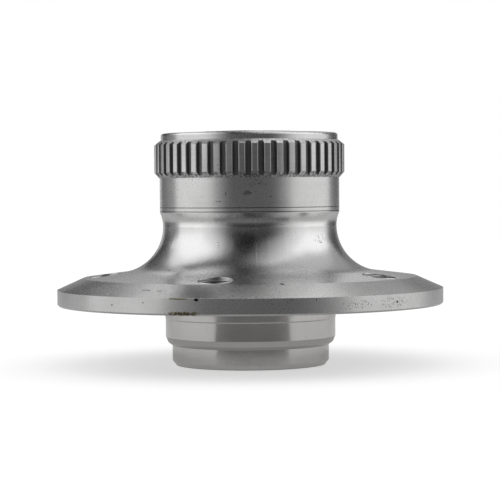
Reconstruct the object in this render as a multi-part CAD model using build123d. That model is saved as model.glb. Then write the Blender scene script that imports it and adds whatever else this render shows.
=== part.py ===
from build123d import *

import math
import os

# Rear wheel hub bearing unit for a fixed stub axle. The flanged outer member carries the wheel and turns; the two inner
# rings are clamped on the axle and stand still. Two rows of balls in angular contact run between them, and a toothed
# ring pressed on the inboard end turns past the wheel speed sensor.
# Millimetres and degrees. Origin: centre of the bolt circle on the wheel face. +Z points inboard, along the axle.

# Wheel flange
flange_dia = 143.6
rim_height = 5.9            # straight rim, from the wheel face
rim_edge_break = 0.6        # chamfer between the wheel face and the rim
rim_slope_width = 9.65      # radial width of the sloping edge above the rim
rim_slope_angle = 24.0
back_cone_angle = 7.1       # slope of the flange's back, up to the neck

# Wheel bolts, M12 x 1.5: the holes are at the thread's outer diameter
bolt_circle_dia = 108.0
bolt_count = 5
bolt_hole_dia = 12.0
bolt_countersink = 0.4      # width and depth, on the wheel face
first_bolt_angle = -90.0

# Spigot that centres the brake disc and the wheel, and the nose in front of it
spigot_length = 22.5        # from the wheel face to the end of the nose
wheel_seat_dia = 63.4
disc_seat_length = 5.0      # from the wheel face
disc_seat_step = 0.1        # the disc seat's radius over the wheel seat's
disc_seat_lead = 0.4
undercut_width = 1.2        # grinding relief in the corner of the disc seat and the wheel face
undercut_depth = 0.5
undercut_face_depth = 0.3
spigot_lead_width = 0.9     # radial width of the chamfer at the spigot's front
spigot_lead_length = 2.1
nose_step = 2.5             # the wheel seat's radius over the nose's
nose_step_length = 1.15
nose_length = 7.35
nose_edge_width = 1.35
nose_edge_length = 1.7
nose_wall = 2.2

# Neck and barrel, behind the flange
neck_fillet = 17.3
neck_relief = 1.1           # how far the neck lies below the barrel
neck_blend_length = 5.0     # from the thinnest place of the neck to the barrel's edge
barrel_dia = 66.9
witness_line_offsets = (0.5, 1.95)      # fine turned lines, from the barrel's edge
witness_line_depth = 0.1

# Inboard end, with the seat of the toothed ring
hub_length = 63.5           # from the wheel face to the inboard end
collar_height = 2.7         # what stands out of the toothed ring
collar_edge_radius = 1.0
ring_seat_step = 0.5        # the barrel's radius over the ring seat's

# Toothed ring
tooth_count = 48
ring_length = 13.8
ring_wall = 1.25            # from its bore to the foot of the teeth
tooth_height = 1.25
tooth_tip_width = 2.3
tooth_flank_angle = 12.0
tooth_edge_radius = 0.35
ring_front_chamfer = (1.8, 2.1)     # radial and axial, on the side of the flange
ring_back_chamfer = (2.1, 1.7)      # radial and axial, on the inboard side
ring_bore_break = 0.25
ring_turn = 1.2             # a tooth's angle past the first bolt hole

# Ball bearing, angular contact, back to back
axle_dia = 27.0
ball_seat_height = 2.7      # from the bore of an inner ring to the underside of a ball
ball_dia = 9.525
ball_count = 11
contact_angle = 35.0
groove_radius_factor = 0.52     # of the ball's diameter
race_clearance = 0.05       # between ball and groove, on the contact line
row_distance = 29.0
inner_shoulder_height = 2.6     # over the underside of a ball
outer_shoulder_height = 2.7
snap_lip_height = 0.06      # low shoulder that keeps a ball in its groove

# Inner rings and the clip that holds the pair together
inner_ring_length = 28.0
inner_ring_stand_out = 0.6      # past the inboard end of the hub
inner_ring_face_chamfer = 0.5
axle_fillet_chamfer = 1.5       # at the bore's outer end, clear of the fillet on the axle
clip_thickness = 0.5
clip_half_length = 3.0
clip_hook_length = 0.7
clip_hook_height = 0.35
clip_gap = 2.0              # slit that lets the clip be squeezed in
clip_clearance = 0.08
clip_setback = 0.02         # the clip's bore behind the bore of the rings

# Cages
cage_pocket_clearance = 0.15
cage_rim = 1.3              # plastic behind the balls
cage_prong_reach = 3.0      # past the centres of the balls
cage_inner_gap = 0.5        # to the high shoulder of an inner ring
cage_outer_gap = 0.4        # to the middle land of the hub
prong_notch_width = 1.2
prong_notch_depth = 1.3

# Cassette seals, one at each end
seal_seat_depth = 5.7
seal_stop_step = 0.65       # the seal seat's radius over the bore behind it
seal_case_wall = 0.8
seal_case_setback = 0.5     # behind the mouth of its seat
seal_case_inward = 4.2      # radial reach of the case's flange, inside its wall
slinger_wall = 0.7
slinger_disc_gap = 0.5      # from the slinger's rim to the case
slinger_setback = 0.45      # behind the mouth of the seat
lip_running_gap = 0.06
rubber_skin = 0.8
lip_thickness = 0.5

# Cavity in the spigot, for the axle nut and the grease cap
cap_seat_length = 9.4
cap_seat_edge = 0.4
nut_room_wall = 3.9         # from the nut room to the wheel seat
nut_room_lead = 1.2

# Worked out from the sizes above
flange_r = flange_dia / 2
wheel_seat_r = wheel_seat_dia / 2
disc_seat_r = wheel_seat_r + disc_seat_step
nose_r = wheel_seat_r - nose_step
nose_end = -spigot_length
cap_seat_r = nose_r - nose_wall
nut_room_r = wheel_seat_r - nut_room_wall

barrel_r = barrel_dia / 2
neck_r = barrel_r - neck_relief
ring_seat_r = barrel_r - ring_seat_step
ring_shoulder = hub_length - collar_height - ring_length
tooth_foot_r = ring_seat_r + ring_wall
tooth_tip_r = tooth_foot_r + tooth_height

ball_r = ball_dia / 2
groove_r = groove_radius_factor * ball_dia
pitch_r = axle_dia / 2 + ball_seat_height + ball_r
inner_land_r = pitch_r - ball_r + inner_shoulder_height
outer_land_r = pitch_r + ball_r - outer_shoulder_height
contact_cos = math.cos(math.radians(contact_angle))
contact_sin = math.sin(math.radians(contact_angle))
groove_offset = groove_r - ball_r - race_clearance
inner_low_r = pitch_r + groove_offset * contact_cos - groove_r + snap_lip_height
outer_low_r = pitch_r - groove_offset * contact_cos + groove_r - snap_lip_height

bearing_middle = hub_length + inner_ring_stand_out - inner_ring_length
row_offset = row_distance / 2
seal_mouth = hub_length - bearing_middle        # measured from the bearing's middle, as all below
seal_floor = seal_mouth - seal_seat_depth
seal_seat_r = outer_low_r + seal_stop_step
slinger_face = seal_mouth - slinger_setback
sleeve_r = inner_land_r + slinger_wall
case_bore_r = seal_seat_r - seal_case_wall
lip_root_r = case_bore_r - seal_case_inward

SIDES = {"inboard": 1, "outboard": -1}


def turned(*points):
    """Solid of revolution about Z, from the corners of its outline as (radius, height)."""
    return revolve(Plane.XZ * make_face(Polyline(*points, close=True)), Axis.Z)


def sleeve(inner, outer, low, high):
    return turned((inner, low), (outer, low), (outer, high), (inner, high))


def disc(radius, low, high):
    return turned((0, low), (radius, low), (radius, high), (0, high))


def on_side(shape, side):
    """Put a shape that was drawn outwards from the bearing's middle at its place, at one end of the bearing."""
    if SIDES[side] < 0:
        shape = mirror(shape, Plane.XY)
    return Pos(0, 0, bearing_middle) * shape


def groove(side, offset_r, offset_z):
    """Ring-shaped cutter of a ball groove, its centre moved from the balls' by the two offsets."""
    return on_side(Pos(0, 0, row_offset + offset_z) * Torus(pitch_r + offset_r, groove_r), side)


def hub_outline():
    """Half section of the outer member, from the nose to the inboard end, closed along the axis."""
    slope = math.radians(back_cone_angle)
    cone_r = flange_r - rim_slope_width
    cone_z = rim_height + rim_slope_width * math.tan(math.radians(rim_slope_angle))
    fillet_centre_r = neck_r + neck_fillet
    foot_r = fillet_centre_r - neck_fillet * math.sin(slope)
    foot_z = cone_z + (cone_r - foot_r) * math.tan(slope)
    neck_z = foot_z + neck_fillet * math.cos(slope)
    barrel_z = neck_z + neck_blend_length
    blend_radius = (neck_blend_length**2 + neck_relief**2) / (2 * neck_relief)
    blend_angle = math.degrees(math.asin(neck_blend_length / blend_radius))

    seat_start = -disc_seat_length
    step_z = nose_end + nose_length
    spigot = Polyline(
        (0, nose_end),
        (nose_r - nose_edge_width, nose_end),
        (nose_r, nose_end + nose_edge_length),
        (nose_r, step_z),
        (wheel_seat_r - spigot_lead_width, step_z + nose_step_length),
        (wheel_seat_r, step_z + nose_step_length + spigot_lead_length),
        (wheel_seat_r, seat_start - disc_seat_lead),
        (disc_seat_r, seat_start),
        (disc_seat_r, -undercut_width),
        (disc_seat_r - undercut_depth, -undercut_width + undercut_depth),
        (disc_seat_r - undercut_depth, undercut_face_depth),
        (disc_seat_r + undercut_width - undercut_face_depth, undercut_face_depth),
        (disc_seat_r + undercut_width, 0),
        (flange_r - rim_edge_break, 0),
        (flange_r, rim_edge_break),
        (flange_r, rim_height),
        (cone_r, cone_z),
        (foot_r, foot_z),
    )
    fillet_arc = CenterArc((fillet_centre_r, neck_z), neck_fillet, 270 - back_cone_angle, back_cone_angle - 90)
    blend_arc = CenterArc((neck_r + blend_radius, neck_z), blend_radius, 180, -blend_angle)
    barrel = Polyline(
        (barrel_r, barrel_z),
        (barrel_r, ring_shoulder),
        (ring_seat_r, ring_shoulder),
        (ring_seat_r, hub_length - collar_edge_radius),
    )
    collar_centre = (ring_seat_r - collar_edge_radius, hub_length - collar_edge_radius)
    collar_arc = CenterArc(collar_centre, collar_edge_radius, 0, 90)
    closing = Polyline((collar_centre[0], hub_length), (0, hub_length), (0, nose_end))
    outline = make_face([*spigot.edges(), *fillet_arc.edges(), *blend_arc.edges(), *barrel.edges(),
                         *collar_arc.edges(), *closing.edges()])
    return outline, barrel_z


def bolt_hole():
    """Cutter of one wheel bolt hole, right through the flange, with a countersink on the wheel face."""
    hole_r = bolt_hole_dia / 2
    past = hole_r
    return turned(
        (0, -past),
        (hole_r + bolt_countersink + past, -past),
        (hole_r, bolt_countersink),
        (hole_r, hub_length),
        (0, hub_length),
    )


def make_hub():
    """Outer member: spigot, wheel flange and barrel in one forging, with both outer raceways ground in its bore."""
    outline, barrel_z = hub_outline()
    hub = revolve(Plane.XZ * outline, Axis.Z)
    for offset in witness_line_offsets:
        line_z = barrel_z + offset
        half = 2 * witness_line_depth
        hub -= turned(
            (barrel_r - witness_line_depth, line_z),
            (barrel_r + witness_line_depth, line_z - half),
            (barrel_r + witness_line_depth, line_z + half),
        )

    # Grease cap seat with its lead-in, then the wider room of the axle nut
    cap_seat_end = nose_end + cap_seat_length
    nut_room_end = bearing_middle - seal_mouth
    hub -= disc(cap_seat_r, nose_end, nut_room_end)
    hub -= turned(
        (0, nose_end - cap_seat_edge),
        (cap_seat_r + 2 * cap_seat_edge, nose_end - cap_seat_edge),
        (cap_seat_r, nose_end + cap_seat_edge),
        (0, nose_end + cap_seat_edge),
    )
    hub -= turned(
        (0, cap_seat_end),
        (cap_seat_r, cap_seat_end),
        (nut_room_r, cap_seat_end + nut_room_lead),
        (nut_room_r, nut_room_end - nut_room_lead),
        (seal_seat_r, nut_room_end),
        (0, nut_room_end),
    )

    # Bearing bore: middle land, relieved bores, seal seats and raceways
    hub -= disc(outer_land_r, bearing_middle - seal_mouth, hub_length)
    for side in SIDES:
        hub -= on_side(disc(outer_low_r, row_offset, seal_mouth), side)
        hub -= on_side(disc(seal_seat_r, seal_floor, seal_mouth), side)
        hub -= groove(side, -groove_offset * contact_cos, groove_offset * contact_sin)

    cutter = bolt_hole()
    for place in PolarLocations(bolt_circle_dia / 2, bolt_count, first_bolt_angle):
        hub -= place * cutter
    return hub


def make_tooth_outline():
    """Flat outline of the toothed ring: round foot with one tooth per pitch, the edges of the tips rounded."""
    below = 0.5 * ring_wall
    spread = math.tan(math.radians(tooth_flank_angle))
    half_tip = tooth_tip_width / 2
    half_foot = half_tip + (tooth_height + below) * spread
    tooth = make_face(Polyline(
        (tooth_foot_r - below, -half_foot),
        (tooth_tip_r, -half_tip),
        (tooth_tip_r, half_tip),
        (tooth_foot_r - below, half_foot),
        close=True,
    ))
    tooth = fillet(tooth.vertices().sort_by(Axis.X)[-2:], tooth_edge_radius)
    teeth = [place * tooth for place in PolarLocations(0, tooth_count, first_bolt_angle + ring_turn)]
    return Circle(tooth_foot_r) + teeth


def make_toothed_ring():
    """Pulse ring of the wheel speed sensor, pressed on its seat against the barrel's shoulder."""
    front_w, front_l = ring_front_chamfer
    back_w, back_l = ring_back_chamfer
    teeth = Pos(0, 0, ring_shoulder) * extrude(make_tooth_outline(), ring_length)
    ring_end = ring_shoulder + ring_length
    envelope = turned(
        (ring_seat_r, ring_shoulder),
        (tooth_tip_r - front_w, ring_shoulder),
        (tooth_tip_r, ring_shoulder + front_l),
        (tooth_tip_r, ring_end - back_l),
        (tooth_tip_r - back_w, ring_end),
        (ring_seat_r + ring_bore_break, ring_end),
        (ring_seat_r, ring_end - ring_bore_break),
    )
    return teeth & envelope


def make_inner_ring(side):
    """Inner ring: high shoulder outside, low snap lip inside, a recess for the clip at the middle of the bearing."""
    bore_r = axle_dia / 2
    recess_r = bore_r + clip_setback + clip_thickness + clip_clearance
    hook_r = recess_r + clip_hook_height
    hook_low = clip_half_length - clip_hook_length - clip_clearance
    hook_high = clip_half_length + clip_clearance
    ring = turned(
        (recess_r, 0),
        (inner_low_r, 0),
        (inner_low_r, row_offset),
        (inner_land_r, row_offset),
        (inner_land_r, inner_ring_length - inner_ring_face_chamfer),
        (inner_land_r - inner_ring_face_chamfer, inner_ring_length),
        (bore_r + axle_fillet_chamfer, inner_ring_length),
        (bore_r, inner_ring_length - axle_fillet_chamfer),
        (bore_r, hook_high),
        (hook_r, hook_high),
        (hook_r, hook_low),
        (recess_r, hook_low),
    )
    return on_side(ring, side) - groove(side, groove_offset * contact_cos, -groove_offset * contact_sin)


def make_clip():
    """Split steel sleeve, hooked into both inner rings so that the unit stays together off the axle."""
    inner = axle_dia / 2 + clip_setback
    outer = inner + clip_thickness
    clip = sleeve(inner, outer, -clip_half_length, clip_half_length)
    for end in (-1, 1):
        hook = sleeve(inner, outer + clip_hook_height, clip_half_length - clip_hook_length, clip_half_length)
        clip += hook if end > 0 else mirror(hook, Plane.XY)
    slit = Pos(outer, 0, 0) * Box(4 * clip_thickness + 2 * clip_hook_height, clip_gap, 3 * clip_half_length)
    return Pos(0, 0, bearing_middle) * (clip - slit)


def ball_angles(side):
    """Angles of the balls in one row. The rows are half a pitch apart."""
    pitch = 360 / ball_count
    first = 0 if side == "inboard" else pitch / 2
    return [first + i * pitch for i in range(ball_count)]


def ball_place(side, angle):
    row_z = bearing_middle + SIDES[side] * row_offset
    return Pos(0, 0, row_z) * Rot(0, 0, angle) * Pos(pitch_r, 0, 0)


def make_ball(side, angle):
    return ball_place(side, angle) * Sphere(ball_r)


def make_cage(side):
    """Snap cage: a rim behind the balls, a round pocket for each, and split prongs that close over them."""
    pocket_r = ball_r + cage_pocket_clearance
    rim_end = row_offset + pocket_r + cage_rim
    prong_end = row_offset - cage_prong_reach
    cage = on_side(sleeve(inner_land_r + cage_inner_gap, outer_land_r - cage_outer_gap, prong_end, rim_end), side)
    half_pitch = 180 / ball_count
    for angle in ball_angles(side):
        cage -= ball_place(side, angle) * Sphere(pocket_r)
        notch = Box(4 * ball_r, prong_notch_width, 2 * prong_notch_depth)
        notch_z = bearing_middle + SIDES[side] * prong_end
        cage -= Pos(0, 0, notch_z) * Rot(0, 0, angle + half_pitch) * Pos(pitch_r, 0, 0) * notch
    return cage


def make_slinger(side):
    """Angled steel ring on an inner ring's shoulder: the running face of the seal and its cover to the outside."""
    sleeve_start = seal_floor + seal_case_wall
    rim_r = case_bore_r - slinger_disc_gap
    return on_side(turned(
        (inner_land_r, sleeve_start),
        (sleeve_r, sleeve_start),
        (sleeve_r, slinger_face - slinger_wall),
        (rim_r, slinger_face - slinger_wall),
        (rim_r, slinger_face),
        (inner_land_r, slinger_face),
    ), side)


def make_seal_case(side):
    """Angled steel ring pressed into the hub, which carries the rubber lips."""
    case_end = seal_mouth - seal_case_setback
    return on_side(turned(
        (lip_root_r, seal_floor),
        (seal_seat_r, seal_floor),
        (seal_seat_r, case_end),
        (case_bore_r, case_end),
        (case_bore_r, seal_floor + seal_case_wall),
        (lip_root_r, seal_floor + seal_case_wall),
    ), side)


def make_seal_lip(side):
    """Rubber on the case: one lip on the slinger's sleeve and one on its disc, both with a hair of running gap."""
    skin_low = seal_floor + seal_case_wall
    skin_high = skin_low + rubber_skin
    inner_r = lip_root_r - rubber_skin
    sleeve_lip_r = sleeve_r + lip_running_gap
    disc_lip_z = slinger_face - slinger_wall - lip_running_gap
    lip_mid_z = (skin_high + disc_lip_z) / 2
    lip_mid_r = (lip_root_r + case_bore_r) / 2
    return on_side(turned(
        (lip_root_r, seal_floor),
        (lip_root_r, skin_low),
        (case_bore_r, skin_low),
        (case_bore_r, skin_high),
        (lip_mid_r + lip_thickness, skin_high),
        (lip_mid_r + 2 * lip_thickness, disc_lip_z),
        (lip_mid_r + lip_thickness, disc_lip_z),
        (lip_mid_r - lip_thickness, skin_high),
        (lip_root_r, skin_high),
        (sleeve_lip_r + lip_thickness, lip_mid_z),
        (sleeve_lip_r, lip_mid_z - lip_thickness),
        (inner_r, skin_low),
        (inner_r, seal_floor),
    ), side)


parts = {
    "hub_flange": make_hub(),
    "abs_tone_ring": make_toothed_ring(),
    "inner_ring_clip": make_clip(),
}
for side in SIDES:
    parts[f"inner_ring_{side}"] = make_inner_ring(side)
    parts[f"cage_{side}"] = make_cage(side)
    parts[f"slinger_{side}"] = make_slinger(side)
    parts[f"seal_case_{side}"] = make_seal_case(side)
    parts[f"seal_lip_{side}"] = make_seal_lip(side)
    for number, angle in enumerate(ball_angles(side), 1):
        parts[f"ball_{side}_{number:02d}"] = make_ball(side, angle)

os.makedirs("parts", exist_ok=True)
for name, shape in parts.items():
    export_step(shape, f"parts/{name}.step")
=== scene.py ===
import bmesh
import bpy
import math
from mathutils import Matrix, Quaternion, Vector


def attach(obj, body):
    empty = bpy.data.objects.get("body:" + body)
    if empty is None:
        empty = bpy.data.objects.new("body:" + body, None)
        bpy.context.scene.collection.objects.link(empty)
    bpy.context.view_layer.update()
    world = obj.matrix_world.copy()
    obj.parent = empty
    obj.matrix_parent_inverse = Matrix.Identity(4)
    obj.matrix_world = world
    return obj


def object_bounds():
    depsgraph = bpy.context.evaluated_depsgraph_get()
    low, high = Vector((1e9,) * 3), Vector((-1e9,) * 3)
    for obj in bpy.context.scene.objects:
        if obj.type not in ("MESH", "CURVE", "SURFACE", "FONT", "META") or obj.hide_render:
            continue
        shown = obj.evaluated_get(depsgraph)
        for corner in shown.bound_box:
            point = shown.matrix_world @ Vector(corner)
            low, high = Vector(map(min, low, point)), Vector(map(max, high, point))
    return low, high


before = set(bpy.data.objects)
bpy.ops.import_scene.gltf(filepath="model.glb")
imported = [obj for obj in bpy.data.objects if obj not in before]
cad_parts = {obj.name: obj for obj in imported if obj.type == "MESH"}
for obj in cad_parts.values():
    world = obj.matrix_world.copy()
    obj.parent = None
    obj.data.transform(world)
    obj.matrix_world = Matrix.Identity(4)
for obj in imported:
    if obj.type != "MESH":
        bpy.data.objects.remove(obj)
lowCorner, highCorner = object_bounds()
mm = 0.001
print("bearing frame loaded:", len(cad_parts), "nodes")


# Camera, low in front of the bearing, with a long lens. Metres, degrees and the lens in millimetres
shot = {
    "turn": 13.0,    # round the axle from the first bolt hole
    "distance": 0.7182,
    "height": 0.0432,
    "tiltDown": 1.85,
    "roll": 0.45,
    "lens": 138.5,
    "sensor": 36,
}
around = math.radians(shot["turn"])


def placeCamera():
    down = math.radians(shot["tiltDown"])
    cameraData = bpy.data.cameras.new("shotCamera")
    cameraData.lens = shot["lens"]
    cameraData.sensor_width = shot["sensor"]
    cameraData.dof.use_dof = False
    camera = bpy.data.objects.new("shotCamera", cameraData)
    bpy.context.scene.collection.objects.link(camera)
    sideways, beyond = -math.sin(around), math.cos(around)
    camera.location = (-shot["distance"] * sideways, -shot["distance"] * beyond, shot["height"])
    lookingAt = Vector((sideways * math.cos(down), beyond * math.cos(down), -math.sin(down)))
    camera.rotation_mode = "QUATERNION"
    aimed = lookingAt.to_track_quat("-Z", "Y")
    camera.rotation_quaternion = Quaternion(lookingAt, math.radians(shot["roll"])) @ aimed
    bpy.context.scene.camera = camera
    bpy.context.scene.view_settings.view_transform = "Standard"


placeCamera()
print("camera placed")


# Short forms for shader nodes. A socket's value is a number, a colour or another node's output
def addNode(tree, kind, sockets=None, **settings):
    node = tree.nodes.new(kind)
    for key, value in settings.items():
        setattr(node, key, value)
    for socket, value in (sockets or {}).items():
        if hasattr(value, "is_output"):
            tree.links.new(value, node.inputs[socket])
        else:
            node.inputs[socket].default_value = value
    return node


def maths(tree, operation, *values):
    return addNode(tree, "ShaderNodeMath", dict(enumerate(values)), operation=operation).outputs[0]


def times(tree, first, *others):
    for value in others:
        first = maths(tree, "MULTIPLY", first, value)
    return first


def plus(tree, first, *others):
    for value in others:
        first = maths(tree, "ADD", first, value)
    return first


def minus(tree, first, second):
    return maths(tree, "SUBTRACT", first, second)


def away(tree, value, place):
    return maths(tree, "ABSOLUTE", minus(tree, value, place))


def reachOf(tree, across, along):
    return maths(tree, "SQRT", plus(tree, times(tree, across, across), times(tree, along, along)))


def fade(tree, value, fromLow, fromHigh, toLow=0.0, toHigh=1.0):
    sockets = {0: value, 1: fromLow, 2: fromHigh, 3: toLow, 4: toHigh}
    return addNode(tree, "ShaderNodeMapRange", sockets, interpolation_type="SMOOTHSTEP").outputs[0]


def mixColour(tree, amount, first, second):
    return addNode(tree, "ShaderNodeMix", {0: amount, 6: first, 7: second}, data_type="RGBA").outputs[2]


def noise(tree, vector, scale, detail=3.0, roughness=0.55):
    sockets = {"Vector": vector, "Scale": scale, "Detail": detail, "Roughness": roughness}
    return addNode(tree, "ShaderNodeTexNoise", sockets).outputs[0]


def cells(tree, vector, scale):
    return addNode(tree, "ShaderNodeTexVoronoi", {"Vector": vector, "Scale": scale}).outputs["Distance"]


def grey(level, warm=0.0):
    return (level * (1 + warm), level, level * (1 - warm), 1)


def newMaterial(name, empty=False):
    material = bpy.data.materials.new(name)
    material.use_nodes = True
    if empty:
        material.node_tree.nodes.clear()
    return material, material.node_tree


# Radius and height about the axle in millimetres, and the turn in degrees from the first bolt hole
def latheSpace(tree):
    place = addNode(tree, "ShaderNodeTexCoord").outputs["Object"]
    x, y, z = addNode(tree, "ShaderNodeSeparateXYZ", {0: place}).outputs
    return {
        "place": place,
        "radius": times(tree, reachOf(tree, x, y), 1 / mm),
        "height": times(tree, z, 1 / mm),
        "turn": times(tree, maths(tree, "ARCTAN2", x, times(tree, y, -1.0)), math.degrees(1)),
    }


# Bare machined steel: turning marks, a cloudy tone and pits, with layers of wear and of painted light and
# shade over them
steelTexture = {
    "fineScale": 7,             # fine turning marks against the coarse ones
    "fineShare": 0.45,
    "lineFade": (0.38, 0.66),
    "cloudFade": (0.3, 0.72),
    "smearScale": 6,            # smears against the cloud
    "pitFade": (0.24, 0.1),
    "patchScale": 0.09,         # patches that have pits against the pits themselves
    "patchFade": (0.56, 0.72),
    "pitDepth": 1.5,            # against the turning marks
    "roughnessVaries": 0.06,
    "roughnessInPits": 0.3,
}


def machinedSteel(name, look, layers=None, softened=None):
    material, tree = newMaterial(name)
    shader = tree.nodes["Principled BSDF"]
    lathe = latheSpace(tree)
    place = lathe["place"]

    marks = addNode(tree, "ShaderNodeCombineXYZ", {0: lathe["radius"], 2: lathe["height"]}).outputs[0]
    coarse = noise(tree, marks, look["markScale"], 2)
    fine = noise(tree, marks, look["markScale"] * steelTexture["fineScale"], 2)
    cloud = noise(tree, place, look["cloudScale"], 4)
    smear = noise(tree, place, look["cloudScale"] * steelTexture["smearScale"], 3)
    fineShare = steelTexture["fineShare"]
    lines = plus(tree, times(tree, coarse, 1 - fineShare), times(tree, fine, fineShare))
    patches = noise(tree, place, look["pitScale"] * steelTexture["patchScale"], 2)
    pits = times(tree, fade(tree, cells(tree, place, look["pitScale"]), *steelTexture["pitFade"]),
                 fade(tree, patches, *steelTexture["patchFade"]))

    tone = mixColour(tree, fade(tree, cloud, *steelTexture["cloudFade"]), look["dark"], look["light"])
    bright = times(tree, fade(tree, lines, *steelTexture["lineFade"]), look["markTone"])
    tone = mixColour(tree, bright, tone, look["light"])
    tone = mixColour(tree, times(tree, pits, look["pitTone"]), tone, look["pitColour"])
    varies = steelTexture["roughnessVaries"]
    rough = plus(tree, look["roughness"] - varies, times(tree, cloud, varies), times(tree, smear, varies),
                 times(tree, pits, steelTexture["roughnessInPits"]))
    for where, colour, change in (layers(tree, lathe) if layers else ()):
        tone = mixColour(tree, where, tone, colour)
        rough = plus(tree, rough, times(tree, where, change))
    tree.links.new(tone, shader.inputs["Base Color"])
    tree.links.new(rough, shader.inputs["Roughness"])

    shader.inputs["Metallic"].default_value = 1.0
    shader.inputs["Anisotropic"].default_value = look["grain"]
    shader.inputs["Anisotropic Rotation"].default_value = 0.25    # a quarter turn
    along = addNode(tree, "ShaderNodeTangent", direction_type="RADIAL", axis="Z").outputs[0]
    tree.links.new(along, shader.inputs["Tangent"])
    relief = minus(tree, lines, times(tree, pits, steelTexture["pitDepth"]))
    bump = addNode(tree, "ShaderNodeBump", {"Height": relief, "Distance": look["markDepth"], "Strength": 1.0})
    if softened:
        tree.links.new(softened(tree, lathe), bump.inputs["Normal"])
    tree.links.new(bump.outputs[0], shader.inputs["Normal"])
    return material


boltHoles = {"count": 5, "circle": 54.0}    # the circle's radius in millimetres

# Wear on the hub, and painted light and shade on it: a painted dark reflection on the slope, painted shade on
# the neck and painted highlights round the bolt holes' mouths. Places are in millimetres and degrees, scales
# are spots in a metre, and a pair of numbers fades from none of a layer to all of it
hubWearAndPaintedLight = {
    "nose": {"height": (-0.5, -6.0), "most": 0.75, "mottleScale": 130, "mottle": (0.2, 0.6),
             "mottleLeast": 0.6, "colour": (0.735, 0.715, 0.685, 1), "roughness": -0.17},
    # painted highlight round the bolt holes' mouths
    "mouthHighlight": {"reach": (6.5, 6.35), "height": (5, 6), "colour": grey(0.95), "roughness": -0.08},
    # a painted dark reflection on the flange's slope
    "darkReflection": {"turn": -2.4, "away": (9.6, 2.2), "radius": (59, 64), "height": (5.9, 6.3), "most": 0.85,
            "colour": grey(0.3), "roughness": -0.04},
    # painted shade on the neck
    "neck": {"top": (30.0, 26.0), "bottom": (7.0, 13.0), "scale": 60,
             "dark": grey(0.66), "light": grey(0.7)},
    "freckles": {"scale": 1500, "size": (0.66, 0.72), "patchScale": 90, "patches": (0.48, 0.62), "most": 0.5,
                 "colour": (0.2, 0.19, 0.17, 1), "roughness": 0.2},
    "edgeLines": {"heights": (34.66, 36.11), "away": (0.16, 0.08), "radius": (33.0, 33.2),
                  "colour": grey(0.12), "roughness": 0.1},
    "pits": {"scale": 1500, "size": (0.34, 0.22), "colour": grey(0.05), "roughness": 0.3},
    "glue": {"scale": 2600, "specks": (0.42, 0.6), "colour": (0.36, 0.33, 0.22, 1)},
    "tornEdge": {"scale": 1100, "detail": 5, "roughness": 0.7, "share": 2.4, "fade": (2.2, 1.85)},
}
# places with pits close together: turn, height, half length, half height
pittedPlaces = {
    "neckMiddle": (6.0, 23.2, 4.2, 2.0),
    "neckRight": (63.5, 24.6, 6.5, 2.0),
    "neckLeft": (-6.5, 22.9, 1.6, 1.2),
    "rimRight": (57.0, 3.3, 6.5, 2.3),
    "rimMiddle": (44.0, 3.0, 6.0, 1.6),
    "barrelTop": (16.5, 45.0, 7.0, 1.5),
}
# single marks: turn, height, half length, half height, slant, colour, roughness added
hubMarks = {
    "glueAtRimFoot": (-6.0, 0.75, 5.0, 0.75, 0.0, (0.075, 0.055, 0.03, 1), 0.3),
    "glueEdge": (-2.2, 0.9, 1.1, 0.55, 0.0, (0.3, 0.29, 0.2, 1), 0.3),
    "glueAtRimTop": (-7.0, 5.75, 3.2, 0.3, 0.0, (0.2, 0.19, 0.1, 1), 0.3),
    "rimChip": (-1.8, 5.45, 0.75, 0.6, 0.0, (0.012, 0.011, 0.01, 1), 0.4),
    "rimNick": (31.2, 5.2, 0.12, 0.9, 0.0, grey(0.04), 0.3),
    "rimPitLeft": (-28.9, 3.1, 0.28, 0.32, 0.0, grey(0.05), 0.3),
    "rimPitMiddleLeft": (-17.8, 4.2, 0.3, 0.25, 0.0, grey(0.2), 0.2),
    "rimPitRight": (58.4, 3.3, 0.3, 0.55, 0.0, grey(0.03), 0.3),
    "barrelScratch": (-6.8, 38.4, 2.7, 0.12, 0.045, grey(0.07), 0.3),
    "barrelNick": (-1.7, 41.2, 0.3, 0.9, 0.0, grey(0.1), 0.3),
    "barrelSpotLeft": (-17.7, 40.2, 0.3, 0.2, 0.0, grey(0.1), 0.3),
    "barrelSpotFarLeft": (-39.7, 40.0, 0.4, 0.2, 0.0, grey(0.1), 0.3),
    "barrelSmudge": (11.6, 41.4, 3.0, 0.9, 0.02, grey(0.38), 0.12),
    "barrelSpotRight": (26.1, 40.1, 0.8, 0.25, 0.03, grey(0.12), 0.3),
    "neckStreak": (16.8, 23.0, 0.45, 9.0, 0.0, grey(0.95), 0.0),
    "coneNick": (23.3, 10.2, 0.9, 0.25, 0.0, (0.12, 0.12, 0.1, 1), 0.2),
    "slopeSmudgeLeft": (-19.6, 8.2, 1.6, 0.25, 0.02, grey(0.4), 0.1),
    "slopeSmudge": (-14.8, 8.1, 1.0, 0.2, -0.02, grey(0.4), 0.1),
}


def markMask(tree, lathe, turn, height, halfLength, halfHeight, slant=0.0):
    # an oval with a torn edge
    across = minus(tree, lathe["turn"], turn)
    upward = plus(tree, minus(tree, lathe["height"], height), times(tree, across, -slant))
    reach = reachOf(tree, maths(tree, "DIVIDE", across, halfLength),
                    maths(tree, "DIVIDE", upward, halfHeight))
    torn = hubWearAndPaintedLight["tornEdge"]
    edge = noise(tree, lathe["place"], torn["scale"], torn["detail"], torn["roughness"])
    return fade(tree, plus(tree, reach, times(tree, edge, torn["share"])), *torn["fade"])


def handledNose(tree, lathe):
    nose = hubWearAndPaintedLight["nose"]
    mottle = noise(tree, lathe["place"], nose["mottleScale"], 4)
    where = times(tree, fade(tree, lathe["height"], *nose["height"], 0.0, nose["most"]),
                  fade(tree, mottle, *nose["mottle"], nose["mottleLeast"], 1.0))
    return [(where, nose["colour"], nose["roughness"])]


# painted highlight: near-white on the rolled beads and upper walls round the bolt holes' mouths
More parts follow.
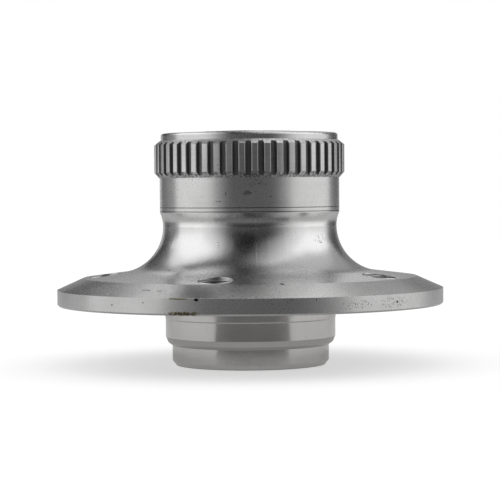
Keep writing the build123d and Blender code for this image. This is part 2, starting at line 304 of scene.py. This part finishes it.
def mouthPaintedHighlights(tree, lathe):
    mouth = hubWearAndPaintedLight["mouthHighlight"]
    half = 180 / boltHoles["count"]
    angle = maths(tree, "DIVIDE", maths(tree, "WRAP", lathe["turn"], half, -half), math.degrees(1))
    sideways = times(tree, lathe["radius"], maths(tree, "SINE", angle))
    outward = minus(tree, times(tree, lathe["radius"], maths(tree, "COSINE", angle)), boltHoles["circle"])
    fromHole = reachOf(tree, sideways, outward)
    where = times(tree, fade(tree, fromHole, *mouth["reach"]), fade(tree, lathe["height"], *mouth["height"]))
    return [(where, mouth["colour"], mouth["roughness"])]


# a painted dark reflection: a soft grey patch on the flange's slope
def paintedReflectionOnSlope(tree, lathe):
    darkReflection = hubWearAndPaintedLight["darkReflection"]
    across = fade(tree, away(tree, lathe["turn"], darkReflection["turn"]), *darkReflection["away"])
    where = times(tree, across, fade(tree, lathe["radius"], *darkReflection["radius"]),
                  fade(tree, lathe["height"], *darkReflection["height"]), darkReflection["most"])
    return [(where, darkReflection["colour"], darkReflection["roughness"])]


# painted shade: the neck darkened in a soft mottle, between the barrel and the flange
def neckPaintedShade(tree, lathe):
    neck = hubWearAndPaintedLight["neck"]
    where = times(tree, fade(tree, lathe["height"], *neck["top"]),
                  fade(tree, lathe["height"], *neck["bottom"]))
    tone = mixColour(tree, noise(tree, lathe["place"], neck["scale"], 3), neck["dark"], neck["light"])
    return [(where, tone, 0.0)]


def freckles(tree, lathe):
    spots = hubWearAndPaintedLight["freckles"]
    patches = fade(tree, noise(tree, lathe["place"], spots["patchScale"], 2), *spots["patches"])
    found = fade(tree, noise(tree, lathe["place"], spots["scale"], 2), *spots["size"])
    return [(times(tree, found, patches, spots["most"]), spots["colour"], spots["roughness"])]


def edgeLines(tree, lathe):
    # the two fine lines turned at the barrel's edge
    lines = hubWearAndPaintedLight["edgeLines"]
    onBarrel = fade(tree, lathe["radius"], *lines["radius"])
    masks = [times(tree, fade(tree, away(tree, lathe["height"], height), *lines["away"]), onBarrel)
             for height in lines["heights"]]
    return [(mask, lines["colour"], lines["roughness"]) for mask in masks]


def pitGroups(tree, lathe):
    pits = hubWearAndPaintedLight["pits"]
    holes = fade(tree, cells(tree, lathe["place"], pits["scale"]), *pits["size"])
    return [(times(tree, markMask(tree, lathe, *place), holes), pits["colour"], pits["roughness"])
            for place in pittedPlaces.values()]


def singleMarks(tree, lathe):
    glue = hubWearAndPaintedLight["glue"]
    specks = fade(tree, noise(tree, lathe["place"], glue["scale"], 3), *glue["specks"])
    found = []
    for name, (*place, colour, change) in hubMarks.items():
        if name.startswith("glue"):
            colour = mixColour(tree, specks, colour, glue["colour"])
        found.append((markMask(tree, lathe, *place), colour, change))
    return found


def hubLayers(tree, lathe):
    kinds = (handledNose, mouthPaintedHighlights, paintedReflectionOnSlope, neckPaintedShade, freckles, edgeLines, pitGroups, singleMarks)
    return [layer for kind in kinds for layer in kind(tree, lathe)]


# The straight blend under the barrel's edge shades as a round one, down to the neck. Millimetres
neckBlend = {
    "bottom": 29.16,
    "top": 34.16,
    "radius": 32.0,         # the blend is outside this
    "shadedTo": 34.1,
    "liftBelow": 0.215,     # how far the shading looks up at the bottom
    "liftAbove": -0.1,
}


def neckNormal(tree, lathe):
    normal = addNode(tree, "ShaderNodeNewGeometry").outputs["Normal"]
    lift = fade(tree, lathe["height"], neckBlend["bottom"], neckBlend["shadedTo"],
                neckBlend["liftBelow"], neckBlend["liftAbove"])
    onBlend = times(tree, maths(tree, "GREATER_THAN", lathe["height"], neckBlend["bottom"]),
                    maths(tree, "LESS_THAN", lathe["height"], neckBlend["top"]),
                    maths(tree, "GREATER_THAN", lathe["radius"], neckBlend["radius"]))
    upward = addNode(tree, "ShaderNodeCombineXYZ", {2: times(tree, lift, onBlend)}).outputs[0]
    raised = addNode(tree, "ShaderNodeVectorMath", {0: normal, 1: upward}, operation="ADD").outputs[0]
    return addNode(tree, "ShaderNodeVectorMath", {0: raised}, operation="NORMALIZE").outputs[0]


# The tone ring's gaps between its teeth, rougher and painted dark as shade, and its mottled end chamfers, the
# lower one painted darker as shade and the upper one painted lighter as light.
# A chamfer is given by the radius and height where it starts and how its radius changes with the height
ringChamfers = {
    # the front chamfer faces down and is painted darker as shade, and the back one faces up and is painted
    # lighter as light
    "front": {"radius": 33.65, "height": 47.0, "slope": 0.857,
              "dark": grey(0.24), "light": grey(0.66), "roughness": 0.12},
    "back": {"radius": 35.45, "height": 59.1, "slope": -1.235,
             "dark": grey(0.6), "light": grey(0.86), "roughness": 0.04},
}
chamferFade = {"depth": (0.06, 0.03), "radius": (35.4, 35.3), "mottleScale": 1200, "mottle": (0.4, 0.62)}
# painted shade in the gaps between the teeth
toothGapShade = {"depth": (0.04, 0.14), "outer": (35.35, 35.1), "inner": (34.0, 34.1), "scale": 2200,
             "dark": grey(0.12), "light": grey(0.34), "roughness": 0.3}


def ringLayers(tree, lathe):
    radius, place = lathe["radius"], lathe["place"]
    belowTip = fade(tree, radius, *chamferFade["radius"])
    mottle = fade(tree, noise(tree, place, chamferFade["mottleScale"], 4), *chamferFade["mottle"])
    found, inGap = [], []
    for chamfer in ringChamfers.values():
        rise = times(tree, minus(tree, lathe["height"], chamfer["height"]), chamfer["slope"])
        depth = minus(tree, plus(tree, rise, chamfer["radius"]), radius)
        inGap.append(fade(tree, depth, *toothGapShade["depth"]))
        where = times(tree, fade(tree, depth, *chamferFade["depth"]), belowTip)
        colour = mixColour(tree, mottle, chamfer["dark"], chamfer["light"])
        found.append((where, colour, chamfer["roughness"]))
    inGap += [fade(tree, radius, *toothGapShade["outer"]), fade(tree, radius, *toothGapShade["inner"])]
    shadedGap = times(tree, *inGap)
    # painted shade for the gaps, dark grey and mottled
    cut = mixColour(tree, noise(tree, place, toothGapShade["scale"], 3), toothGapShade["dark"], toothGapShade["light"])
    found.append((shadedGap, cut, toothGapShade["roughness"]))
    return found


# Steel finishes. Depths are in metres, and scales are spots in a metre, but turning marks in a millimetre
turnedLook = {
    "light": grey(0.745, 0.004),
    "dark": grey(0.64, 0.004),
    "roughness": 0.27,
    "grain": 0.5,
    "markScale": 1.6,
    "markTone": 0.55,
    "markDepth": 0.0000026,
    "cloudScale": 55,
    "pitScale": 900,
    "pitTone": 0.8,
    "pitColour": (0.06, 0.055, 0.05, 1),
}
ringLook = {**turnedLook, "light": grey(0.72), "dark": grey(0.54), "roughness": 0.36, "grain": 0.3,
            "markDepth": 0.000006}
threadLook = {**turnedLook, "light": grey(0.5), "dark": grey(0.34), "roughness": 0.34}
groundLook = {**turnedLook, "light": grey(0.66), "dark": grey(0.58), "roughness": 0.2, "markScale": 4,
              "markDepth": 0.0000015, "pitTone": 0.2}
ballLook = {**turnedLook, "light": grey(0.7), "dark": grey(0.66), "roughness": 0.1, "grain": 0.0,
            "markDepth": 0.0000003, "pitTone": 0.1}
clipLook = {**turnedLook, "light": grey(0.55, 0.02), "dark": grey(0.42, 0.03)}
sealLook = {**turnedLook, "light": grey(0.58), "dark": grey(0.48), "roughness": 0.26}

turnedSteel = machinedSteel("turnedSteel", turnedLook, hubLayers, neckNormal)
ringSteel = machinedSteel("ringSteel", ringLook, ringLayers)
threadSteel = machinedSteel("threadSteel", threadLook)
groundSteel = machinedSteel("groundSteel", groundLook)
ballSteel = machinedSteel("ballSteel", ballLook)
clipSteel = machinedSteel("clipSteel", clipLook)
sealSteel = machinedSteel("sealSteel", sealLook)
print("steel finishes made")


# Black nitrile rubber of the seals and natural nylon of the cages
rubberLook = {"light": grey(0.03), "dark": grey(0.018), "cloudScale": 180, "cloudFade": (0.3, 0.7),
              "roughness": 0.5, "roughnessVaries": 0.12, "grainScale": 2500, "grainDepth": 0.00001}
nylonLook = {**rubberLook, "light": (0.62, 0.56, 0.42, 1), "dark": (0.5, 0.44, 0.31, 1), "cloudScale": 120,
             "roughness": 0.37, "grainScale": 1800, "grainDepth": 0.000008}


def mouldedPlastic(name, look):
    material, tree = newMaterial(name)
    shader = tree.nodes["Principled BSDF"]
    place = latheSpace(tree)["place"]
    cloud = noise(tree, place, look["cloudScale"], 4)
    tone = mixColour(tree, fade(tree, cloud, *look["cloudFade"]), look["dark"], look["light"])
    tree.links.new(tone, shader.inputs["Base Color"])
    rough = plus(tree, look["roughness"], times(tree, cloud, look["roughnessVaries"]))
    tree.links.new(rough, shader.inputs["Roughness"])
    grain = noise(tree, place, look["grainScale"], 2)
    bump = addNode(tree, "ShaderNodeBump", {"Height": grain, "Distance": look["grainDepth"]})
    tree.links.new(bump.outputs[0], shader.inputs["Normal"])
    return material


sealRubber = mouldedPlastic("sealRubber", rubberLook)
cageNylon = mouldedPlastic("cageNylon", nylonLook)
print("rubber and nylon made")

# by the start of a node's name, the longer one first where two fit
finishOf = {
    "hub_flange": turnedSteel,
    "abs_tone_ring": ringSteel,
    "inner_ring_clip": clipSteel,
    "inner_ring": groundSteel,
    "ball": ballSteel,
    "cage": cageNylon,
    "slinger": sealSteel,
    "seal_case": sealSteel,
    "seal_lip": sealRubber,
}
for nodeName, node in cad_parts.items():
    start = next(start for start in finishOf if nodeName.startswith(start))
    node.material_slots[0].material = finishOf[start]
print("finishes set on the bearing's nodes")


# Threads of the wheel bolts, M12 x 1.5, in the flange's five holes. Millimetres and degrees
thread = {
    "firstAngle": -90.0,
    "majorRadius": 6.0,
    "pitch": 1.5,
    "depth": 0.812,
    "mouth": 0.4,         # height at which the thread starts, over the wheel face
    "underBack": 0.02,    # how far under the flange's back it ends
    "wall": 0.04,         # reach into the steel round the hole
    "steps": 72,
    "rows": 132,
    "bead": 0.13,         # radius of the rolled bead round the mouth, on the flange's back
    "beadSteps": 8,
    "beadSunk": 0.01,
}
flangeBack = {
    "rimRadius": 71.8,
    "rimHeight": 5.9,
    "slopeWidth": 9.65,
    "slopeAngle": 24.0,
    "coneAngle": 7.1,
}


def flangeBackHeight(radius):
    slopeRadius = flangeBack["rimRadius"] - flangeBack["slopeWidth"]
    slope = math.tan(math.radians(flangeBack["slopeAngle"]))
    if radius > slopeRadius:
        return flangeBack["rimHeight"] + (flangeBack["rimRadius"] - radius) * slope
    top = flangeBack["rimHeight"] + flangeBack["slopeWidth"] * slope
    return top + (slopeRadius - radius) * math.tan(math.radians(flangeBack["coneAngle"]))


def threadDepthAt(share):
    # share of one pitch, from the middle of the groove: flat eighth, flank, flat quarter, flank
    fromGroove = min(share % 1.0, 1.0 - share % 1.0)
    return thread["depth"] * min(max((fromGroove - 1 / 16) / (5 / 16), 0.0), 1.0)


def threadColumn(centreX, centreY, step):
    # points up one side of the hole, over the bead and down again inside the steel
    angle = 2 * math.pi * step / thread["steps"]

    def along(reach):
        return centreX + reach * math.cos(angle), centreY + reach * math.sin(angle)

    major, bead = thread["majorRadius"], thread["bead"]
    low = thread["mouth"]
    top = flangeBackHeight(math.hypot(*along(major))) - thread["underBack"]
    column = []
    for row in range(thread["rows"] + 1):
        height = low + (top - low) * row / thread["rows"]
        depth = threadDepthAt(height / thread["pitch"] + step / thread["steps"])
        depth = min(depth, height - low, top - height)
        column.append((*along(major - depth), height))
    for share in range(thread["beadSteps"] + 1):
        rise = math.pi * (1 - share / thread["beadSteps"])
        place = along(major + bead * (1 + math.cos(rise)))
        height = flangeBackHeight(math.hypot(*place)) + bead * math.sin(rise) - thread["beadSunk"]
        column.append((*place, height))
    for height in (top - bead, low + thread["wall"]):
        column.append((*along(major + thread["wall"]), height))
    return column


def boltThread(number):
    turn = math.radians(thread["firstAngle"] + 360 / boltHoles["count"] * number)
    centreX, centreY = boltHoles["circle"] * math.cos(turn), boltHoles["circle"] * math.sin(turn)
    shape = bmesh.new()
    columns = [[shape.verts.new([value * mm for value in point])
                for point in threadColumn(centreX, centreY, step)] for step in range(thread["steps"])]
    for column, following in zip(columns, columns[1:] + columns[:1]):
        for row in range(len(column)):
            after = (row + 1) % len(column)
            face = shape.faces.new((column[row], column[after], following[after], following[row]))
            face.material_index = 1 if row > thread["rows"] else 0
    bmesh.ops.recalc_face_normals(shape, faces=shape.faces)
    mesh = bpy.data.meshes.new(f"bolt_thread_{number + 1}")
    shape.to_mesh(mesh)
    shape.free()
    mesh.materials.append(threadSteel)
    mesh.materials.append(turnedSteel)
    mesh.shade_flat()
    piece = bpy.data.objects.new(f"bolt_thread_{number + 1}", mesh)
    bpy.context.scene.collection.objects.link(piece)
    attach(piece, "hub")


for number in range(boltHoles["count"]):
    boltThread(number)
print("bolt threads cut")


# Studio: pale floor under the nose, white surroundings, and cards on a dome that only the steel sees and that
# draw its bands. A place on the dome is a share of its radius to the camera's right, and an angle up over the
# bearing from in front and down behind it
studio = {
    "floorSize": 6.0,
    "floorBelow": 0.00005,      # metres under the bearing
    "floorPaper": 0.6,
    "floorFibres": 0.01,
    "fibreScale": 900,
    "floorGlow": 0.5,
    "floorInSteel": 0.576,
    "domeRadius": 1.6,
    "backCardRadius": 1.52,
    "floorCardAbove": 0.0002,
    "worldGlow": 0.85,
}
# the card in front is dark in the middle and white at its edges: angle, where it is white and dark again on
# the left, dark and white on the right, and its glow where it is dark
frontCardRows = (
    (-8, -0.86, -0.42, 0.48, 0.94, 0.06),
    (3, -0.86, -0.42, 0.48, 0.94, 0.06),
    (18, -0.8, -0.36, 0.52, 0.9, 0.0),
    (38, -0.68, -0.24, 0.04, 0.85, 0.0),
    (51, -0.6, -0.21, -0.02, 0.76, 0.01),
    (67, -0.55, -0.24, -0.14, 0.58, 0.03),
    (80, -0.5, -0.27, -0.13, 0.42, 0.07),
    (94, -0.48, -0.42, -0.08, 0.1, 0.02),
    (135, -0.46, -0.42, -0.17, -0.09, 0.0),
)
frontCardLook = {"stepsBetweenRows": 6, "columns": 60, "edgePower": 1.4}
# cards behind: from one side to the other, from one angle to the other, and their glow. Most of the glows
# were worked out by a least-squares fit outside this script, and the others were set one by one
backCards = {
    "overRight": (0.25, 0.75, 90, 135, 0.6),
    "highFarLeft": (-0.75, -0.25, 135, 155, 0.1),
    "highLeft": (-0.25, -0.08, 135, 155, 0.85),
    "highMiddle": (-0.08, 0.25, 135, 155, 0.2),
    "highRight": (0.25, 0.75, 135, 155, 0.38),
    "farLeft": (-0.75, -0.25, 155, 170, 0.05),
    "left": (-0.25, -0.08, 155, 170, 0.37),
    "middle": (-0.08, 0.15, 155, 170, 0.77),
    "right": (0.15, 0.45, 155, 170, 0.21),
    "farRight": (0.45, 0.75, 155, 170, 0.05),
    "lowFarLeft": (-0.75, -0.45, 170, 180.8, 0.1),
    "lowLeft": (-0.45, -0.25, 170, 180.8, 0.64),
    "lowMiddle": (-0.25, 0.45, 170, 180.8, 0.3),
    "lowFarRight": (0.45, 0.75, 170, 180.8, 0.08),
    "edgeLeft": (-0.95, -0.75, 150, 181, 0.17),
    "edgeRight": (0.75, 0.85, 150, 181, 0.2),
}
# cards on the floor: from one turn to the other, from one reach to the other in metres, and their glow
floorCards = {
    "underCard": (-180, 180, 0.027, 0.07, 0.33),
    "nearFloorCard": (-44, 49, 0.08, 0.31, 0.14),
    "frontFloorCard": (-46, 52, 0.31, 1.6, 0.26),
    "backFloorCard": (125, 235, 0.25, 1.6, 0.45),
}
cardSteps = 12
# lamps: place to the camera's right, beyond the axle and up, size in metres, and power in watts
lamps = {
    "leftSoftbox": ((-1.25, -0.1, 0.75), (1.2, 1.2), 1.6),
    "rightSoftbox": ((1.25, 0.15, 0.75), (1.2, 1.2), 1.6),
}
lampsAimAt = Vector((0, 0, 0.02))


def plainGlow(name, level):
    material, tree = newMaterial(name, empty=True)
    glow = addNode(tree, "ShaderNodeEmission", {"Color": grey(1.0), "Strength": level})
    addNode(tree, "ShaderNodeOutputMaterial", {0: glow.outputs[0]})
    return material


def floorPaper():
    # the steel sees a plainer and darker paper than the camera does
    material, tree = newMaterial("floorPaper", empty=True)
    path = addNode(tree, "ShaderNodeLightPath")
    fibres = noise(tree, addNode(tree, "ShaderNodeTexCoord").outputs["Object"], studio["fibreScale"], 3)
    level, fibre = studio["floorPaper"], studio["floorFibres"]
    paperTone = mixColour(tree, fibres, grey(level - fibre), grey(level + fibre))
    paper = addNode(tree, "ShaderNodeBsdfDiffuse", {"Color": paperTone}).outputs[0]
    dimPaper = addNode(tree, "ShaderNodeBsdfDiffuse", {"Color": grey(studio["floorInSteel"])}).outputs[0]
    glow = addNode(tree, "ShaderNodeEmission", {"Color": grey(1.0), "Strength": studio["floorGlow"]})
    glowing = addNode(tree, "ShaderNodeAddShader", {0: paper, 1: glow.outputs[0]}).outputs[0]
    inSteel = addNode(tree, "ShaderNodeMixShader", {0: path.outputs["Is Glossy Ray"], 1: paper, 2: dimPaper})
    seen = addNode(tree, "ShaderNodeMixShader", {0: path.outputs["Is Camera Ray"], 1: inSteel.outputs[0],
                                                 2: glowing})
    addNode(tree, "ShaderNodeOutputMaterial", {0: seen.outputs[0]})
    return material


def stageSheet(name, rows, material):
    # a sheet through rows of points, all rows of the same length
    shape = bmesh.new()
    made = [[shape.verts.new(point) for point in row] for row in rows]
    for first, second in zip(made, made[1:]):
        for column in range(len(first) - 1):
            shape.faces.new((first[column], first[column + 1], second[column + 1], second[column]))
    mesh = bpy.data.meshes.new(name)
    shape.to_mesh(mesh)
    shape.free()
    mesh.materials.append(material)
    piece = bpy.data.objects.new(name, mesh)
    bpy.context.scene.collection.objects.link(piece)
    return piece


def stageCard(name, rows, material):
    card = stageSheet(name, rows, material)
    card.visible_camera = False
    card.visible_diffuse = False
    card.visible_shadow = False
    return card


def fromCamera(side, beyond, up):
    # a point given to the camera's right, beyond the axle and up
    return (side * math.cos(around) - beyond * math.sin(around),
            side * math.sin(around) + beyond * math.cos(around), up)


def domePoint(side, up, radius):
    rest = math.sqrt(1 - side * side) * radius
    angle = math.radians(up)
    return fromCamera(side * radius, -rest * math.cos(angle), rest * math.sin(angle))


def cardGlow(side, whiteLeft, darkLeft, darkRight, whiteRight, glow):
    share = 0.0
    if side < darkLeft:
        share = (darkLeft - side) / (darkLeft - whiteLeft)
    elif side > darkRight:
        share = (side - darkRight) / (whiteRight - darkRight)
    return glow + (1 - glow) * share ** frontCardLook["edgePower"]


def frontCard():
    rows, glows = [], []
    steps, columns = frontCardLook["stepsBetweenRows"], frontCardLook["columns"]
    for start, end in zip(frontCardRows, frontCardRows[1:]):
        for step in range(steps):
            up, *edges, glow = (first + (second - first) * step / steps
                                for first, second in zip(start, end))
            left, right = edges[0], edges[-1]
            sides = [left + (right - left) * column / columns for column in range(columns + 1)]
            rows.append([domePoint(side, up, studio["domeRadius"]) for side in sides])
            glows += [cardGlow(side, *edges, glow) for side in sides]
    material = plainGlow("frontCard", 1.0)
    tree = material.node_tree
    shade = addNode(tree, "ShaderNodeAttribute", attribute_name="glow")
    tree.links.new(shade.outputs["Fac"], tree.nodes["Emission"].inputs["Strength"])
    card = stageCard("frontCard", rows, material)
    card.data.attributes.new("glow", "FLOAT", "POINT").data.foreach_set("value", glows)


def evenly(first, last):
    return [first + (last - first) * step / cardSteps for step in range(cardSteps + 1)]


def backCard(name, left, right, fromUp, toUp, glow):
    rows = [[domePoint(side, up, studio["backCardRadius"]) for side in evenly(left, right)]
            for up in evenly(fromUp, toUp)]
    stageCard(name, rows, plainGlow(name, glow))


def floorCard(name, fromTurn, toTurn, start, end, glow):
    height = lowCorner.z + studio["floorCardAbove"]
    turns = [math.radians(turn) for turn in evenly(fromTurn, toTurn)]
    rows = [[fromCamera(math.sin(turn) * reach, -math.cos(turn) * reach, height) for reach in (start, end)]
            for turn in turns]
    stageCard(name, rows, plainGlow(name, glow))


def floorSheet():
    half = studio["floorSize"] / 2
    low = lowCorner.z - studio["floorBelow"]
    rows = [[(-half, -half, low), (half, -half, low)], [(-half, half, low), (half, half, low)]]
    stageSheet("studioFloor", rows, floorPaper())


def softLamp(name, place, size, power):
    lampData = bpy.data.lights.new(name, "AREA")
    lampData.shape = "RECTANGLE"
    lampData.size, lampData.size_y = size
    lampData.energy = power
    lamp = bpy.data.objects.new(name, lampData)
    bpy.context.scene.collection.objects.link(lamp)
    lamp.location = fromCamera(*place)
    lamp.rotation_mode = "QUATERNION"
    lamp.rotation_quaternion = (lampsAimAt - lamp.location).to_track_quat("-Z", "Y")
    lamp.visible_camera = False


def whiteWorld():
    # pure white to the camera and in the steel, a little dimmer as light
    world = bpy.data.worlds.new("studioWorld")
    bpy.context.scene.world = world
    world.use_nodes = True
    tree = world.node_tree
    tree.nodes.clear()
    path = addNode(tree, "ShaderNodeLightPath")
    seen = maths(tree, "MAXIMUM", path.outputs["Is Camera Ray"], path.outputs["Is Glossy Ray"])
    seen = maths(tree, "MAXIMUM", seen, path.outputs["Is Transmission Ray"])
    strength = fade(tree, seen, 0.0, 1.0, studio["worldGlow"], 1.0)
    sky = addNode(tree, "ShaderNodeBackground", {"Color": grey(1.0), "Strength": strength})
    addNode(tree, "ShaderNodeOutputWorld", {0: sky.outputs[0]})


floorSheet()
frontCard()
for name, card in backCards.items():
    backCard(name + "Card", *card)
for name, card in floorCards.items():
    floorCard(name, *card)
for name, lamp in lamps.items():
    softLamp(name, *lamp)
whiteWorld()
print("studio lit")
